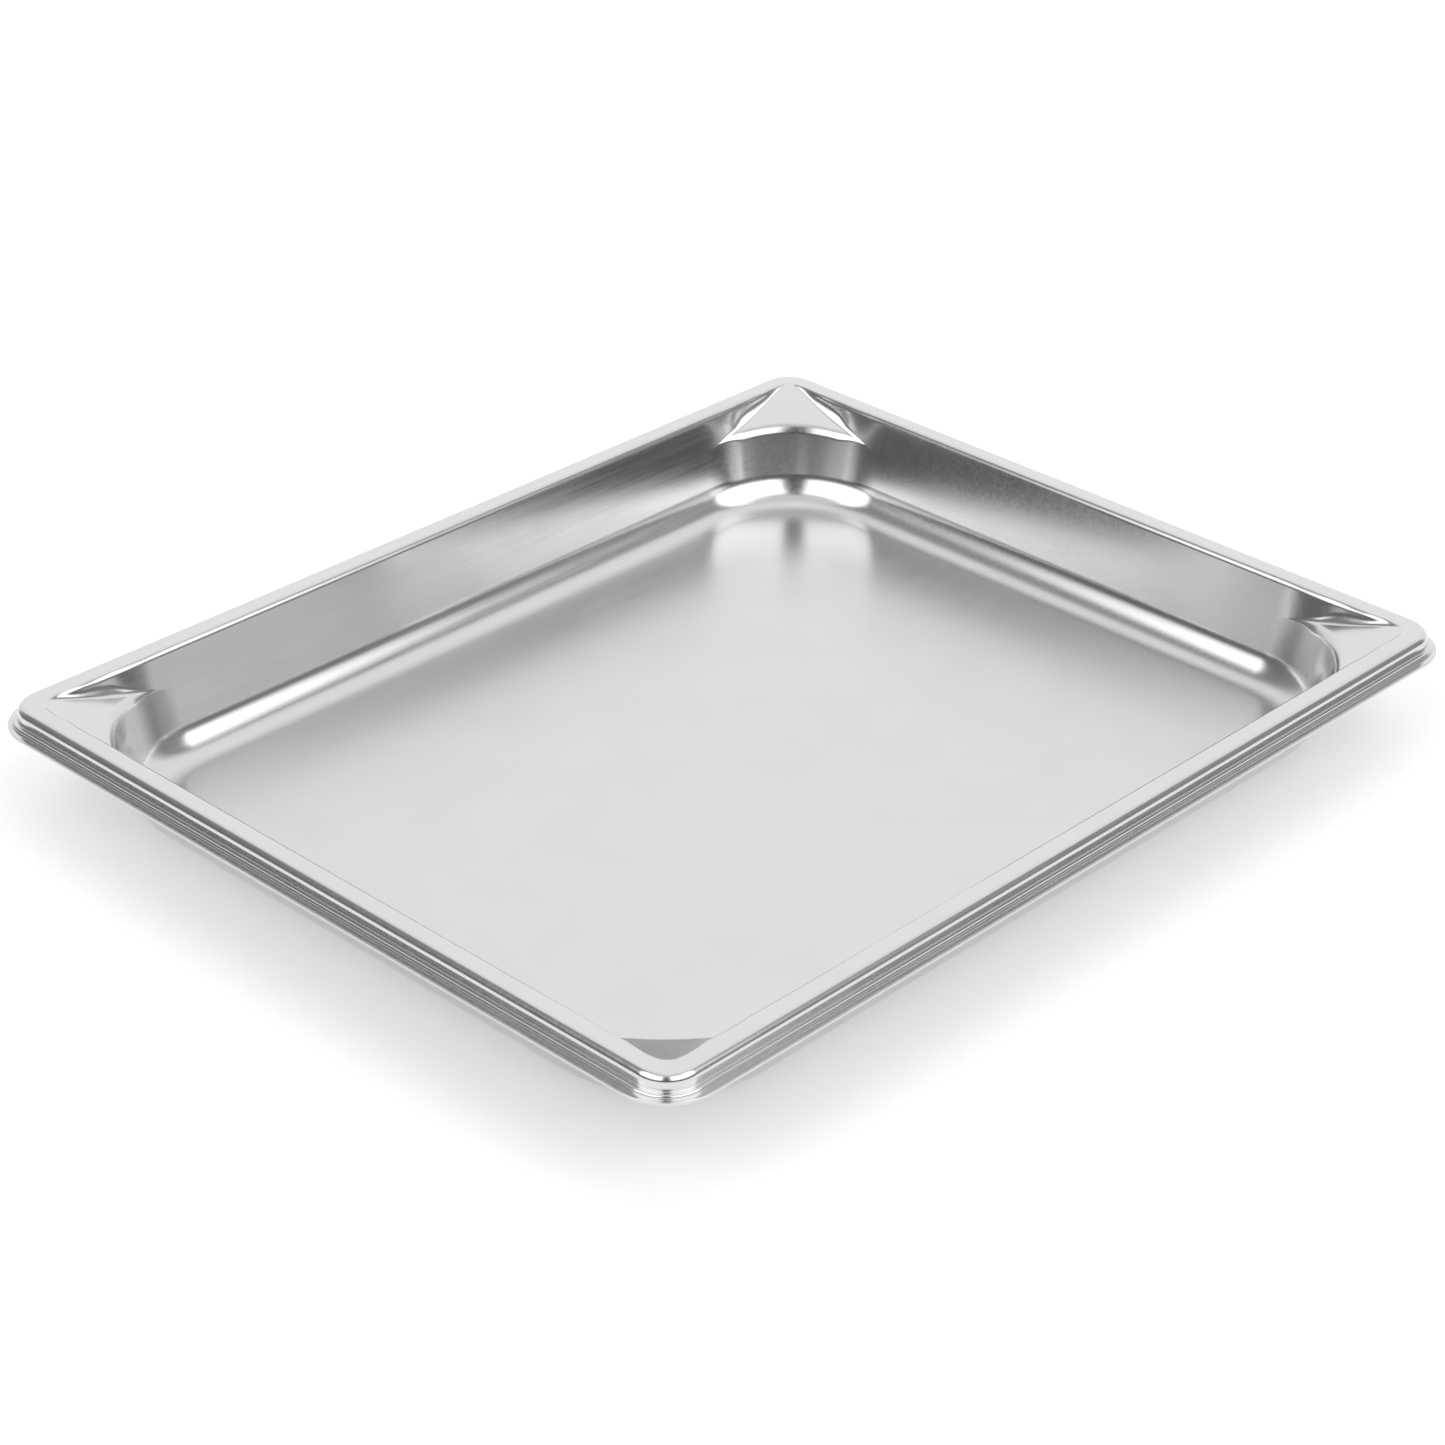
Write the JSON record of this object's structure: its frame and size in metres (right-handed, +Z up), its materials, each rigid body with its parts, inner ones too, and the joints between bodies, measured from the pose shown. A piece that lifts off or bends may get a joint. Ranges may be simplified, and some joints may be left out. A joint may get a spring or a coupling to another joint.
{
  "type": "developing tray",
  "caption": "Shallow rectangular developing tray pressed from one stainless sheet, with drafted walls, round inside corners, sloping corner pads and a stepped flat rim.",
  "frame": {"origin": "middle of the underside of the floor, on the surface that the tray stands on", "axes": "+X along the long side, +Y along the short side, +Z up out of the open side"},
  "size_m": [0.325, 0.265, 0.0318],
  "materials": {
    "steel": "satin stainless steel, matt on the floor, brighter along the walls and the rim"
  },
  "bodies": {
    "root": {"tray": "steel"}
  },
  "joints": []
}
